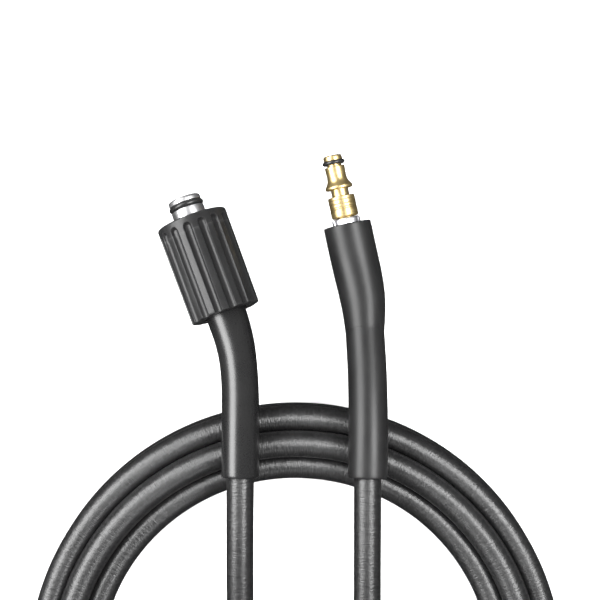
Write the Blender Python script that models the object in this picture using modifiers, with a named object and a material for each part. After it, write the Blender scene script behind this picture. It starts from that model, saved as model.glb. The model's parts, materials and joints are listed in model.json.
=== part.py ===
"""Pressure washer hose, coiled for storage, with a screw coupling and a push-in plug.

The hose lies on the floor. Its two ends climb out of the coil's middle, cross
over the coil and come down to the floor again, where the fittings rest.
All sizes are in metres. The layout's plan has the coil's centre as its zero.
"""

import math

import bmesh
import bpy
import numpy as np

# Clearances
TOUCH_GAP = 0.0003
FLOOR_GAP = 0.0002

# Hose and coil
HOSE_DIAMETER = 0.0112
COIL_MEAN_RADIUS = 0.0978
COIL_NOTCH_ANGLE = math.radians(24)
COIL_ARC_STEP = math.radians(32)
COIL_STEPS = 72
HOSE_POINT_SPACING = 0.0224

# Screw coupling: where its hand nut's front stands, and how it points
COUPLING_FRONT_X = -0.0435
COUPLING_FRONT_Y = 0.1909
COUPLING_TURN = math.radians(20.7)
COUPLING_DIP = math.radians(10)

# Hand nut
NUT_LENGTH = 0.042
NUT_FRONT_RADIUS = 0.0150
NUT_REAR_RADIUS = 0.01465
NUT_FRONT_ROUND = 0.0010
NUT_REAR_ROUND = 0.0006
NUT_THREAD_RADIUS = 0.0103
NUT_MOUTH_CHAMFER = 0.0008
NUT_LEDGE_LENGTH = 0.013
NUT_GROOVES = 15
NUT_GROOVE_START = 0.0026
NUT_GROOVE_RADIUS = 0.0018
NUT_GROOVE_OFFSET = 0.0006
NUT_GROOVE_STEPS = 12
NUT_STEPS = 60

# Screw nipple and its seal
NIPPLE_REACH = 0.0095
NIPPLE_PIN_RADIUS = 0.0070
NIPPLE_TIP_RADIUS = 0.0069
NIPPLE_TIP_CHAMFER = 0.0007
NIPPLE_BORE_RADIUS = 0.0025
NIPPLE_SEAL_INSET = 0.0035
NIPPLE_SEAL_SECTION = 0.0023
NIPPLE_SEAL_RADIUS = 0.00745
NIPPLE_COLLAR_DEPTH = 0.0112
NIPPLE_COLLAR_THICKNESS = 0.0030
NIPPLE_COLLAR_RADIUS = 0.0099
NIPPLE_STEM_RADIUS = 0.0050
NIPPLE_STEM_LENGTH = 0.0100
NIPPLE_STEPS = 40

# Sleeve of the screw coupling
NUT_SLEEVE_LENGTH = 0.0963
NUT_SLEEVE_RADIUS = 0.0077
NUT_SLEEVE_NECK_RADIUS = 0.0085
NUT_SLEEVE_CLEARANCE = 0.00045
NUT_SLEEVE_SHOULDER = 0.0024
NUT_SLEEVE_TAPER = 0.0220

# Push-in plug: where its sleeve's mouth stands, and how it points
PLUG_MOUTH_X = 0.0216
PLUG_MOUTH_Y = 0.1887
PLUG_TURN = math.radians(12.3)
PLUG_DIP = math.radians(5)

# Brass plug, from its tip back to the ferrule
PLUG_CAP_LENGTH = 0.00225
PLUG_CAP_RADIUS = 0.0040
PLUG_CAP_ROUND = 0.0010
PLUG_SEAL_SECTION = 0.0017
PLUG_SEAL_RADIUS = 0.0048
PLUG_SEAL_GROOVE = 0.00255
PLUG_BARREL_LENGTH = 0.0062
PLUG_BARREL_RADIUS = 0.00425
PLUG_BARREL_WAIST = 0.0040
PLUG_FLARE_LENGTH = 0.0034
PLUG_FLARE_RADIUS = 0.0058
PLUG_LIP_RADIUS = 0.0006
PLUG_NECK_LENGTH = 0.0032
PLUG_NECK_RADIUS = 0.0037
PLUG_BODY_LENGTH = 0.0090
PLUG_BODY_RADIUS = 0.0057
PLUG_BODY_CHAMFER = 0.0005
PLUG_STEM_RADIUS = 0.0038
PLUG_BORE_RADIUS = 0.0019
PLUG_STEPS = 36

# Crimp ferrule of the push-in plug
FERRULE_REACH = 0.0030
FERRULE_RADIUS = 0.00625
FERRULE_DEPTH = 0.0070
FERRULE_ROUND = 0.0005

# Sleeve of the push-in plug
PLUG_SLEEVE_LENGTH = 0.1080
PLUG_SLEEVE_RADIUS = 0.0081
PLUG_SLEEVE_GRIP_RADIUS = 0.01005
PLUG_SLEEVE_GRIP_LENGTH = 0.0270
PLUG_SLEEVE_TAPER = 0.0190
PLUG_SLEEVE_STRAIGHT = 0.0130
PLUG_SLEEVE_MOUTH_CHAMFER = 0.0004

# Both sleeves and both seals
SLEEVE_END_ROUND = 0.0012
SLEEVE_END_TURN = math.radians(75)
SLEEVE_POINT_SPACING = 0.008
SEAL_SIDES = 12

# Fineness of the round shapes
SLEEVE_BEVEL_RESOLUTION = 10
HOSE_BEVEL_RESOLUTION = 4
ROUND_POINTS = 4
SMALL_ROUND_POINTS = 3
ROUTE_SAMPLES = 4000
MERGE_DISTANCE = 0.00001

# Route of the hose from the screw coupling's hand nut to the coil
NUT_END_ROUTE = [
    (-0.0248, 0.1390, 0.0250),
    (-0.0233, 0.1290, 0.0279),
    (-0.0227, 0.1190, 0.0311),
    (-0.0226, 0.1090, 0.0338),
    (-0.0226, 0.1013, 0.0354),
    (-0.0226, 0.0940, 0.0365),
    (-0.0226, 0.0861, 0.0372),
    (-0.0227, 0.0750, 0.0375),
    (-0.0228, 0.0600, 0.0369),
    (-0.0229, 0.0450, 0.0346),
    (-0.0229, 0.0300, 0.0307),
    (-0.0229, 0.0150, 0.0256),
    (-0.0229, 0.0000, 0.0201),
    (-0.0210, -0.0219, 0.0121),
    (-0.0155, -0.0352, 0.0087),
    (-0.0068, -0.0465, 0.0068),
    (0.0046, -0.0553, 0.0060),
    (0.0180, -0.0609, 0.0059),
    (0.0321, -0.0627, 0.0059),
    (0.0462, -0.0612, 0.0059),
]

# Route of the hose from the push-in plug's sleeve to the coil
PLUG_END_ROUTE = [
    (0.0283, 0.1557, 0.0162),
    (0.0289, 0.1443, 0.0204),
    (0.0295, 0.1323, 0.0251),
    (0.0298, 0.1204, 0.0298),
    (0.0299, 0.1081, 0.0339),
    (0.0298, 0.0972, 0.0365),
    (0.0296, 0.0857, 0.0380),
    (0.0295, 0.0766, 0.0387),
    (0.0295, 0.0600, 0.0388),
    (0.0295, 0.0450, 0.0380),
    (0.0296, 0.0300, 0.0363),
    (0.0296, 0.0150, 0.0338),
    (0.0296, 0.0000, 0.0309),
    (0.0296, -0.0145, 0.0276),
    (0.0277, -0.0293, 0.0241),
    (0.0220, -0.0430, 0.0210),
    (0.0129, -0.0548, 0.0185),
    (0.0011, -0.0639, 0.0175),
    (-0.0126, -0.0696, 0.0171),
    (-0.0267, -0.0715, 0.0170),
]

# Values that follow from the sizes above
HOSE_RADIUS = HOSE_DIAMETER / 2
COLUMN_PITCH = HOSE_DIAMETER * math.sin(math.radians(60))
COIL_OUTER_RADIUS = COIL_MEAN_RADIUS + COLUMN_PITCH + HOSE_RADIUS
PLUG_REACH = (FERRULE_REACH + PLUG_BODY_LENGTH + PLUG_NECK_LENGTH + PLUG_FLARE_LENGTH
              + PLUG_BARREL_LENGTH + PLUG_SEAL_GROOVE + PLUG_CAP_LENGTH)
PLUG_SEAL_PLACE = PLUG_REACH - PLUG_CAP_LENGTH - PLUG_SEAL_SECTION / 2
PLUG_TIP_Y = PLUG_MOUTH_Y + PLUG_REACH * math.cos(PLUG_DIP) * math.cos(PLUG_TURN)
LAYOUT_SHIFT_Y = (COIL_OUTER_RADIUS - PLUG_TIP_Y) / 2
COUPLING_FRONT_Z = (NUT_FRONT_RADIUS * math.cos(COUPLING_DIP)
                    - NUT_FRONT_ROUND * math.sin(COUPLING_DIP) + FLOOR_GAP)
PLUG_MOUTH_Z = PLUG_SLEEVE_GRIP_RADIUS * math.cos(PLUG_DIP) + FLOOR_GAP
NIPPLE_COLLAR_BACK = -NIPPLE_COLLAR_DEPTH - NIPPLE_COLLAR_THICKNESS
NUT_SLEEVE_START = NIPPLE_COLLAR_BACK - TOUCH_GAP


def clear_scene():
    """Remove every object that the file opened with."""
    for old in list(bpy.data.objects):
        bpy.data.objects.remove(old, do_unlink=True)


def new_collection(name):
    """Make a collection under the scene's own."""
    group = bpy.data.collections.new(name)
    bpy.context.scene.collection.children.link(group)
    return group


def material(name, color, roughness, metallic=0.0):
    """A plain Principled material."""
    mat = bpy.data.materials.new(name)
    mat.use_nodes = True
    shader = mat.node_tree.nodes["Principled BSDF"]
    shader.inputs["Base Color"].default_value = (*color, 1.0)
    shader.inputs["Roughness"].default_value = roughness
    shader.inputs["Metallic"].default_value = metallic
    return mat


def empty(name, group, location=(0, 0, 0), rotation=(0, 0, 0), parent=None):
    """An empty that carries other objects."""
    obj = bpy.data.objects.new(name, None)
    obj.location = location
    obj.rotation_euler = rotation
    obj.parent = parent
    group.objects.link(obj)
    return obj


def axis_rotation(turn, dip):
    """Turn local +Z to point along +Y, dip it to the floor and turn it to the left."""
    return (-(math.pi / 2 + dip), 0.0, turn)


def axis_point(start, turn, dip, distance):
    """The point at a distance along a fitting's axis, in the layout's frame."""
    direction = np.array([-math.sin(turn) * math.cos(dip),
                          math.cos(turn) * math.cos(dip),
                          -math.sin(dip)])
    return tuple(np.array(start) + distance * direction)


def add_object(name, mesh, mat, group, parent):
    """Put a mesh in the scene as a finished piece."""
    if mat is not None:
        mesh.materials.append(mat)
    obj = bpy.data.objects.new(name, mesh)
    obj.parent = parent
    group.objects.link(obj)
    return obj


def turned(name, profile, steps, mat, group, parent, closed=True):
    """Turn a profile of (radius, height) points about local Z.

    The profile runs down the outer side first. A closed one is a ring's section,
    and an open one starts and ends on the axis.
    """
    mesh = bpy.data.meshes.new(name)
    points = [(radius, 0.0, height) for radius, height in profile]
    edges = [(i, i + 1) for i in range(len(points) - 1)]
    if closed:
        edges.append((len(points) - 1, 0))
    mesh.from_pydata(points, edges, [])
    obj = add_object(name, mesh, mat, group, parent)
    screw = obj.modifiers.new("turn", "SCREW")
    screw.axis = "Z"
    screw.angle = 2 * math.pi
    screw.steps = steps
    screw.render_steps = steps
    screw.use_merge_vertices = True
    screw.merge_threshold = MERGE_DISTANCE
    screw.use_smooth_shade = True
    return obj


def arc(center_radius, center_height, radius, start, end, count):
    """Points on an arc of a profile, angles in radians from straight outwards."""
    return [(center_radius + radius * math.cos(a), center_height + radius * math.sin(a))
            for a in np.linspace(start, end, count)]


def spline(points):
    """Natural cubic spline through points: its running length and its places."""
    pts = np.array(points, dtype=float)
    t = np.concatenate([[0.0], np.cumsum(np.linalg.norm(np.diff(pts, axis=0), axis=1))])
    h = np.diff(t)
    count = len(pts)
    matrix = np.eye(count)
    right = np.zeros((count, 3))
    for i in range(1, count - 1):
        matrix[i, i - 1] = h[i - 1]
        matrix[i, i] = 2 * (h[i - 1] + h[i])
        matrix[i, i + 1] = h[i]
        right[i] = 6 * ((pts[i + 1] - pts[i]) / h[i] - (pts[i] - pts[i - 1]) / h[i - 1])
    bend = np.linalg.solve(matrix, right)
    fine = np.linspace(0.0, t[-1], ROUTE_SAMPLES)
    k = np.clip(np.searchsorted(t, fine, side="right") - 1, 0, count - 2)
    a = ((t[k + 1] - fine) / h[k])[:, None]
    b = ((fine - t[k]) / h[k])[:, None]
    places = (a * pts[k] + b * pts[k + 1]
              + ((a ** 3 - a) * bend[k] + (b ** 3 - b) * bend[k + 1]) * (h[k] ** 2)[:, None] / 6)
    run = np.concatenate([[0.0], np.cumsum(np.linalg.norm(np.diff(places, axis=0), axis=1))])
    return run, places


def read_route(route, distances):
    """Places on a spline at given distances along it."""
    run, places = route
    return np.column_stack([np.interp(distances, run, places[:, axis]) for axis in range(3)])


def tube(name, places, radii, resolution, mat, group, parent):
    """A curve with a round section, one radius at each place, and filled ends."""
    curve = bpy.data.curves.new(name, "CURVE")
    curve.dimensions = "3D"
    curve.bevel_depth = max(radii)
    curve.bevel_resolution = resolution
    curve.use_fill_caps = True
    line = curve.splines.new("POLY")
    line.points.add(len(places) - 1)
    for point, place, radius in zip(line.points, places, radii):
        point.co = (*place, 1.0)
        point.radius = radius / curve.bevel_depth
    if mat is not None:
        curve.materials.append(mat)
    obj = bpy.data.objects.new(name, curve)
    obj.parent = parent
    group.objects.link(obj)
    return obj


def as_mesh(curve_object, mat, group):
    """Replace a curve object by its closed mesh, in the same place."""
    bpy.context.view_layer.update()
    graph = bpy.context.evaluated_depsgraph_get()
    mesh = bpy.data.meshes.new_from_object(curve_object.evaluated_get(graph))
    name, place, parent = curve_object.name, curve_object.matrix_world.copy(), curve_object.parent
    bpy.data.objects.remove(curve_object, do_unlink=True)
    shape = bmesh.new()
    shape.from_mesh(mesh)
    bmesh.ops.remove_doubles(shape, verts=shape.verts, dist=MERGE_DISTANCE)
    bmesh.ops.recalc_face_normals(shape, faces=shape.faces)
    shape.to_mesh(mesh)
    shape.free()
    mesh.materials.clear()
    obj = add_object(name, mesh, mat, group, parent)
    obj.matrix_world = place
    return obj


def cut(obj, cutters_collection):
    """Cut a piece by every object of a collection."""
    boolean = obj.modifiers.new("cut", "BOOLEAN")
    boolean.operation = "DIFFERENCE"
    boolean.solver = "EXACT"
    boolean.operand_type = "COLLECTION"
    boolean.collection = cutters_collection


def hide_cutter(obj):
    """Mark an object as a guide, not a piece."""
    obj.hide_render = True
    obj.display_type = "WIRE"


def coil_section():
    """Outline of the wound strands: three columns, the middle one half a strand higher.

    Each strand shows an arc between its notches with the next strands round the outside.
    """
    turn = math.pi
    side = COLUMN_PITCH
    notch = COIL_NOTCH_ANGLE
    low, high = HOSE_RADIUS, HOSE_RADIUS + HOSE_DIAMETER
    up, down = math.radians(30), math.radians(150)
    strands = [(0.0, high + HOSE_RADIUS, turn + up, -up),
               (side, high, down, -turn / 2),
               (side, low, turn / 2, -turn - up),
               (0.0, low + HOSE_RADIUS, -up, -down),
               (-side, low, up, -turn * 1.5),
               (-side, high, -turn / 2, -turn - down)]
    outline = []
    for offset, height, start, end in strands:
        count = round((start - end - 2 * notch) / COIL_ARC_STEP) + 1
        outline += arc(COIL_MEAN_RADIUS + offset, height, HOSE_RADIUS,
                       start - notch, end + notch, max(2, count))
    return outline


def hand_nut_section():
    """Section of the hand nut: grip outside, thread bore and rear ledge inside."""
    rear = -NUT_LENGTH
    rear_bore = NUT_SLEEVE_NECK_RADIUS + NUT_SLEEVE_CLEARANCE
    ledge = rear + NUT_LEDGE_LENGTH
    front_round = arc(NUT_FRONT_RADIUS - NUT_FRONT_ROUND, -NUT_FRONT_ROUND, NUT_FRONT_ROUND,
                      math.pi / 2, 0.0, ROUND_POINTS)
    rear_round = arc(NUT_REAR_RADIUS - NUT_REAR_ROUND, rear + NUT_REAR_ROUND, NUT_REAR_ROUND,
                     0.0, -math.pi / 2, SMALL_ROUND_POINTS)
    inside = [(rear_bore, rear), (rear_bore, ledge), (NUT_THREAD_RADIUS, ledge),
              (NUT_THREAD_RADIUS, -NUT_MOUTH_CHAMFER),
              (NUT_THREAD_RADIUS + NUT_MOUTH_CHAMFER, 0.0)]
    return front_round + rear_round + inside


def groove_section():
    """Half section of one grip groove's cutter, a rod with a round front end."""
    top = -NUT_GROOVE_START
    bottom = -NUT_LENGTH - NUT_GROOVE_RADIUS
    nose = arc(0.0, top - NUT_GROOVE_RADIUS, NUT_GROOVE_RADIUS, math.pi / 2, 0.0,
               ROUND_POINTS)
    nose[0] = (0.0, top)
    return nose + [(NUT_GROOVE_RADIUS, bottom), (0.0, bottom)]


def nipple_section():
    """Section of the screw nipple: pin with its seal groove, collar, stem and bore."""
    bore = NIPPLE_BORE_RADIUS
    tip = NIPPLE_REACH
    seal_place = tip - NIPPLE_SEAL_INSET
    half_groove = NIPPLE_SEAL_SECTION / 2 + TOUCH_GAP
    floor = NIPPLE_SEAL_RADIUS - NIPPLE_SEAL_SECTION - TOUCH_GAP
    stem_end = NIPPLE_COLLAR_BACK - NIPPLE_STEM_LENGTH
    return [(NIPPLE_TIP_RADIUS - NIPPLE_TIP_CHAMFER, tip),
            (NIPPLE_TIP_RADIUS, tip - NIPPLE_TIP_CHAMFER),
            (NIPPLE_TIP_RADIUS, seal_place + half_groove),
            (floor, seal_place + half_groove),
            (floor, seal_place - half_groove),
            (NIPPLE_PIN_RADIUS, seal_place - half_groove),
            (NIPPLE_PIN_RADIUS, -NIPPLE_COLLAR_DEPTH),
            (NIPPLE_COLLAR_RADIUS, -NIPPLE_COLLAR_DEPTH),
            (NIPPLE_COLLAR_RADIUS, NIPPLE_COLLAR_BACK),
            (NIPPLE_STEM_RADIUS, NIPPLE_COLLAR_BACK),
            (NIPPLE_STEM_RADIUS, stem_end),
            (bore, stem_end),
            (bore, tip)]


def plug_section():
    """Section of the brass plug: cap, seal groove, barrel, flare, neck, body and stem."""
    tip = PLUG_REACH
    groove_top = tip - PLUG_CAP_LENGTH
    groove_floor = PLUG_SEAL_RADIUS - PLUG_SEAL_SECTION - TOUCH_GAP
    barrel_top = groove_top - PLUG_SEAL_GROOVE
    flare_top = barrel_top - PLUG_BARREL_LENGTH
    flare_end = flare_top - PLUG_FLARE_LENGTH
    body_top = flare_end - PLUG_NECK_LENGTH
    stem_end = -FERRULE_DEPTH
    cap = arc(PLUG_CAP_RADIUS - PLUG_CAP_ROUND, tip - PLUG_CAP_ROUND, PLUG_CAP_ROUND,
              math.pi / 2, 0.0, ROUND_POINTS)
    slope = [(PLUG_BARREL_RADIUS, barrel_top), (PLUG_BARREL_WAIST, flare_top)]
    lip = arc(PLUG_FLARE_RADIUS - PLUG_LIP_RADIUS, flare_end + PLUG_LIP_RADIUS,
              PLUG_LIP_RADIUS, math.pi / 4, -math.pi / 2, ROUND_POINTS)
    body = [(PLUG_NECK_RADIUS, flare_end), (PLUG_NECK_RADIUS, body_top),
            (PLUG_BODY_RADIUS - PLUG_BODY_CHAMFER, body_top),
            (PLUG_BODY_RADIUS, body_top - PLUG_BODY_CHAMFER),
            (PLUG_BODY_RADIUS, FERRULE_REACH + PLUG_BODY_CHAMFER),
            (PLUG_BODY_RADIUS - PLUG_BODY_CHAMFER, FERRULE_REACH)]
    stem = [(PLUG_STEM_RADIUS, FERRULE_REACH), (PLUG_STEM_RADIUS, stem_end),
            (PLUG_BORE_RADIUS, stem_end), (PLUG_BORE_RADIUS, tip)]
    groove = [(PLUG_CAP_RADIUS, groove_top), (groove_floor, groove_top),
              (groove_floor, barrel_top)]
    return cap + groove + slope + lip + body + stem


def ferrule_section():
    """Section of the crimp ferrule, a short tube round the plug's stem."""
    top = FERRULE_REACH - TOUCH_GAP
    inner = PLUG_STEM_RADIUS + TOUCH_GAP
    rim = arc(FERRULE_RADIUS - FERRULE_ROUND, top - FERRULE_ROUND, FERRULE_ROUND,
              math.pi / 2, 0.0, SMALL_ROUND_POINTS)
    return rim + [(FERRULE_RADIUS, -FERRULE_DEPTH), (inner, -FERRULE_DEPTH), (inner, top)]


def seal_section(outer_radius, section, place):
    """Section of a round seal ring."""
    angles = [math.pi / 2 - i * 2 * math.pi / SEAL_SIDES for i in range(SEAL_SIDES)]
    middle = outer_radius - section / 2
    return [(middle + section / 2 * math.cos(a), place + section / 2 * math.sin(a))
            for a in angles]


def sleeve(name, route, outline, recess_radius, recess_depth, axis, mat, groups):
    """A moulded sleeve: a tube of changing radius with a socket for the fitting's stem.

    outline lists (distance along the route, radius).
    """
    distances = [distance for distance, radius in outline]
    even = np.arange(distances[0], distances[-1], SLEEVE_POINT_SPACING)
    apart = [e for e in even if min(abs(e - d) for d in distances) > SLEEVE_POINT_SPACING / 4]
    stations = sorted(distances + apart)
    radii = np.interp(stations, distances, [radius for distance, radius in outline])
    body = tube(name, read_route(route, stations), radii, SLEEVE_BEVEL_RESOLUTION, None,
                groups["pieces"], groups["layout"])
    body = as_mesh(body, mat, groups["pieces"])
    socket = new_collection(name + "_socket")
    end = axis["start"] - recess_depth
    lead = TOUCH_GAP + recess_depth
    profile = [(0.0, axis["start"] + lead), (recess_radius, axis["start"] + lead),
               (recess_radius, end), (0.0, end)]
    hide_cutter(turned(name + "_cutter", profile, PLUG_STEPS, None, socket,
                       axis["empty"], closed=False))
    cut(body, socket)
    return body


def build_coil(groups, mats):
    """The wound part of the hose, one turned ring whose strands show all round."""
    turned("hose_coil", coil_section(), COIL_STEPS, mats["hose"], groups["pieces"],
           groups["layout"])


def build_run(name, route, start, groups, mats):
    """The hose's free stretch between a sleeve and the coil."""
    total = route[0][-1]
    count = max(2, round((total - start) / HOSE_POINT_SPACING) + 1)
    even = np.linspace(start, total, count)
    stations = np.concatenate([[start, start + HOSE_RADIUS], even[1:-1],
                               [total - HOSE_RADIUS, total]])
    tube(name, read_route(route, stations), [HOSE_RADIUS] * len(stations),
         HOSE_BEVEL_RESOLUTION, mats["hose"], groups["pieces"], groups["layout"])


def build_hand_nut(axis_empty, groups, mats):
    """The hand nut, its grip grooves cut along it."""
    nut = turned("hand_nut", hand_nut_section(), NUT_STEPS, mats["nut"], groups["pieces"],
                 axis_empty)
    grooves = new_collection("grip_grooves")
    reach = NUT_REAR_RADIUS + NUT_GROOVE_OFFSET
    for i in range(NUT_GROOVES):
        angle = 2 * math.pi * (i + 0.5) / NUT_GROOVES
        cutter = turned("grip_groove_%02d" % (i + 1), groove_section(), NUT_GROOVE_STEPS,
                        None, grooves, axis_empty, closed=False)
        cutter.location = (reach * math.cos(angle), reach * math.sin(angle), 0.0)
        hide_cutter(cutter)
    cut(nut, grooves)


def build_screw_coupling(groups, mats):
    """Hand nut, nipple, seal, sleeve and free hose of the screw end."""
    front = (COUPLING_FRONT_X, COUPLING_FRONT_Y, COUPLING_FRONT_Z)
    axis_empty = empty("screw_coupling_axis", groups["pieces"], front,
                       axis_rotation(COUPLING_TURN, COUPLING_DIP), groups["layout"])
    build_hand_nut(axis_empty, groups, mats)
    turned("screw_nipple", nipple_section(), NIPPLE_STEPS, mats["steel"], groups["pieces"],
           axis_empty)
    turned("nipple_seal", seal_section(NIPPLE_SEAL_RADIUS, NIPPLE_SEAL_SECTION,
                                       NIPPLE_REACH - NIPPLE_SEAL_INSET),
           NIPPLE_STEPS, mats["seal"], groups["pieces"], axis_empty)
    straight = [axis_point(front, COUPLING_TURN, COUPLING_DIP, place)
                for place in (NUT_SLEEVE_START, -NUT_LENGTH + NUT_LEDGE_LENGTH, -NUT_LENGTH)]
    route = spline(straight + NUT_END_ROUTE)
    neck = NUT_LENGTH + NUT_SLEEVE_START
    outline = [(0.0, NUT_SLEEVE_NECK_RADIUS),
               (neck + NUT_SLEEVE_SHOULDER, NUT_SLEEVE_NECK_RADIUS),
               (neck + NUT_SLEEVE_TAPER, NUT_SLEEVE_RADIUS)]
    outline += sleeve_end(NUT_SLEEVE_LENGTH, NUT_SLEEVE_RADIUS)
    sleeve("nut_sleeve", route, outline, NIPPLE_STEM_RADIUS + TOUCH_GAP, NIPPLE_STEM_LENGTH,
           {"empty": axis_empty, "start": NUT_SLEEVE_START}, mats["sleeve"], groups)
    build_run("hose_run_nut_end", route, NUT_SLEEVE_LENGTH + TOUCH_GAP, groups, mats)


def sleeve_end(length, radius):
    """The rounded hose end of a sleeve, as (distance, radius) pairs."""
    turn = np.linspace(0.0, SLEEVE_END_TURN, ROUND_POINTS)
    rounded = [(length - SLEEVE_END_ROUND * (1 - math.sin(a)),
                radius - SLEEVE_END_ROUND * (1 - math.cos(a))) for a in turn]
    return rounded + [(length, radius - SLEEVE_END_ROUND)]


def build_push_in_plug(groups, mats):
    """Brass plug, seal, ferrule, sleeve and free hose of the plug end."""
    mouth = (PLUG_MOUTH_X, PLUG_MOUTH_Y, PLUG_MOUTH_Z)
    axis_empty = empty("push_in_plug_axis", groups["pieces"], mouth,
                       axis_rotation(PLUG_TURN, PLUG_DIP), groups["layout"])
    turned("brass_plug", plug_section(), PLUG_STEPS, mats["brass"], groups["pieces"], axis_empty)
    turned("plug_seal", seal_section(PLUG_SEAL_RADIUS, PLUG_SEAL_SECTION, PLUG_SEAL_PLACE),
           PLUG_STEPS, mats["seal"], groups["pieces"], axis_empty)
    turned("crimp_ferrule", ferrule_section(), PLUG_STEPS, mats["ferrule"], groups["pieces"],
           axis_empty)
    straight = [axis_point(mouth, PLUG_TURN, PLUG_DIP, place)
                for place in (0.0, -FERRULE_DEPTH, -PLUG_SLEEVE_STRAIGHT)]
    route = spline(straight + PLUG_END_ROUTE)
    grip = PLUG_SLEEVE_GRIP_RADIUS
    chamfer = PLUG_SLEEVE_MOUTH_CHAMFER
    outline = [(0.0, grip - chamfer), (chamfer, grip),
               (PLUG_SLEEVE_GRIP_LENGTH, grip),
               (PLUG_SLEEVE_GRIP_LENGTH + PLUG_SLEEVE_TAPER, PLUG_SLEEVE_RADIUS)]
    outline += sleeve_end(PLUG_SLEEVE_LENGTH, PLUG_SLEEVE_RADIUS)
    sleeve("plug_sleeve", route, outline, FERRULE_RADIUS + TOUCH_GAP, FERRULE_DEPTH + TOUCH_GAP,
           {"empty": axis_empty, "start": 0.0}, mats["sleeve"], groups)
    build_run("hose_run_plug_end", route, PLUG_SLEEVE_LENGTH + TOUCH_GAP, groups, mats)


def build():
    """Model the whole hose."""
    clear_scene()
    pieces = new_collection("pressure_washer_hose")
    groups = {"pieces": pieces,
              "layout": empty("layout", pieces, (0.0, LAYOUT_SHIFT_Y, 0.0))}
    mats = {"hose": material("hose_rubber", (0.030, 0.030, 0.032), 0.45),
            "sleeve": material("sleeve_rubber", (0.028, 0.028, 0.029), 0.50),
            "nut": material("nut_plastic", (0.045, 0.045, 0.047), 0.42),
            "seal": material("seal_rubber", (0.012, 0.012, 0.012), 0.35),
            "steel": material("nipple_steel", (0.80, 0.80, 0.81), 0.18, 1.0),
            "ferrule": material("ferrule_steel", (0.74, 0.74, 0.77), 0.22, 1.0),
            "brass": material("plug_brass", (0.83, 0.66, 0.33), 0.20, 1.0)}
    build_coil(groups, mats)
    build_screw_coupling(groups, mats)
    build_push_in_plug(groups, mats)


build()
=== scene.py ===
"""Pressure washer hose: the finish of every surface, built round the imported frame.

Metres, +Z up, the frame's own axes. Round pieces are surfaces on a grid of rings and
columns. Each of their points also keeps its place on the straightened piece, in the
attribute "place": across, across and along the piece, for grain that follows it.
"""

import json
import math

import bpy
import numpy as np
from mathutils import Matrix, Vector


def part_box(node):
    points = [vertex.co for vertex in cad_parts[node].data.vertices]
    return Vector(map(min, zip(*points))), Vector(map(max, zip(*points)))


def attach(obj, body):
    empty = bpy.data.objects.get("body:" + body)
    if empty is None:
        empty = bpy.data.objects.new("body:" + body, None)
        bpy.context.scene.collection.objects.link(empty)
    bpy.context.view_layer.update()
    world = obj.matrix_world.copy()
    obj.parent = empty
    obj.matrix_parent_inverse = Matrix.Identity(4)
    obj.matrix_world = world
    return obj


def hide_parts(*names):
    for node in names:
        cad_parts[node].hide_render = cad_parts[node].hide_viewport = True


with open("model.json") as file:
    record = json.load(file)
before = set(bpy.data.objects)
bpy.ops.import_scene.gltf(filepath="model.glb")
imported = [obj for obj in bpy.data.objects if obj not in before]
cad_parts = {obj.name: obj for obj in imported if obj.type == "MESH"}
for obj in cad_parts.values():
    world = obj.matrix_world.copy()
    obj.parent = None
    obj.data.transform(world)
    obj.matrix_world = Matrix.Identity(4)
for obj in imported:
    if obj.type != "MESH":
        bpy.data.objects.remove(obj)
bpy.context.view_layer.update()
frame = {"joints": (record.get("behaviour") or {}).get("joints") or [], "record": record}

# Hose and its winding
HOSE_DIAMETER = 0.0112
HOSE_RADIUS = HOSE_DIAMETER / 2
COIL_MEAN_RADIUS = 0.0978
COLUMN_PITCH = HOSE_DIAMETER * math.sin(math.radians(60))
INNER_RADIUS = COIL_MEAN_RADIUS - COLUMN_PITCH
POINTS_PER_TURN = 16
TURNS = 5
ENTRY_AZIMUTH = math.radians(-13.4)
ENTRY_BEND = 0.055
ENTRY_ARC_START = math.radians(-75)
ENTRY_HEIGHT = 0.0059
EXIT_AZIMUTH = math.radians(208.4)
EXIT_BEND = 0.057
EXIT_ARC_END = math.radians(271)
EXIT_HEIGHT = 0.0170
ARC_POINT_STEP = math.radians(20)
HOSE_RINGS = 2300
HOSE_COLUMNS = 28
HOSE_TUCK = 0.010
SPLINE_SAMPLES = 24000
DIRECTION_STEP = 0.0004

# Slots of the stack: columns from the mean radius, and height in hose diameters
SLOTS = np.array([(-1, 0.5), (0, 1.0), (1, 0.5), (1, 1.5), (0, 2.0), (-1, 1.5)])

# Turn by turn: azimuths where it starts and stops rolling, the slot it rolls round, and
# the roll's first and last angle, all angles in degrees
ROLLS = [(297, 344, 5, 270, 330),
         (277, 322, 3, 210, 270),
         (256, 302, 1, -30, 30),
         (234, 282, 1, 30, 90),
         (212, 264, 1, 90, 150)]

# Route of the hose from the screw coupling's hand nut to the coil, coil's centre at zero
NUT_END_ROUTE = [
    (-0.0248, 0.1390, 0.0250),
    (-0.0233, 0.1290, 0.0279),
    (-0.0227, 0.1190, 0.0311),
    (-0.0226, 0.1090, 0.0338),
    (-0.0226, 0.1013, 0.0354),
    (-0.0226, 0.0940, 0.0365),
    (-0.0226, 0.0861, 0.0372),
    (-0.0227, 0.0750, 0.0375),
    (-0.0228, 0.0600, 0.0369),
    (-0.0229, 0.0450, 0.0346),
    (-0.0229, 0.0300, 0.0307),
    (-0.0229, 0.0150, 0.0256),
    (-0.0229, 0.0000, 0.0201),
    (-0.0210, -0.0219, 0.0121),
    (-0.0155, -0.0352, 0.0087),
    (-0.0068, -0.0465, 0.0068),
    (0.0046, -0.0553, 0.0060),
    (0.0180, -0.0609, 0.0059),
    (0.0321, -0.0627, 0.0059),
]

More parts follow.
